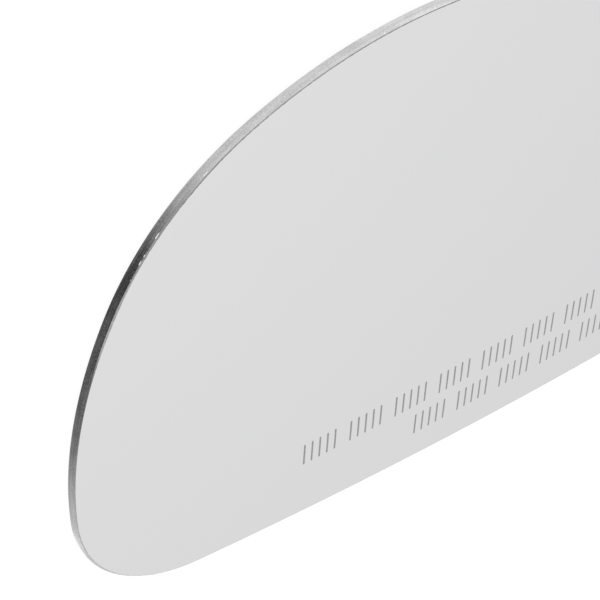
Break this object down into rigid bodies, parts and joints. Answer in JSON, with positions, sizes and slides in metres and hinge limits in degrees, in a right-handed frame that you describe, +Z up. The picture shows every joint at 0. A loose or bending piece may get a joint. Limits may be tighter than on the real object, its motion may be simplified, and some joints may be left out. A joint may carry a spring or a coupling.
{
  "type": "car door mirror glass",
  "caption": "Convex door mirror glass: a bent pane with rounded corners, silvered on its concave back, with a ground edge all round.",
  "frame": {"origin": "middle of the underside's bounding box, on the surface that the rim lies on", "axes": "+X along the lower edge, from the narrow end to the broad end; +Y from the lower edge to the top edge; +Z up, out of the convex mirror face"},
  "size_m": [0.1838, 0.099, 0.0051],
  "materials": {
    "mirror_glass": "polished convex mirror face, satin ground edge, grey painted back"
  },
  "bodies": {
    "root": {"mirror_glass": "mirror_glass"}
  },
  "joints": []
}
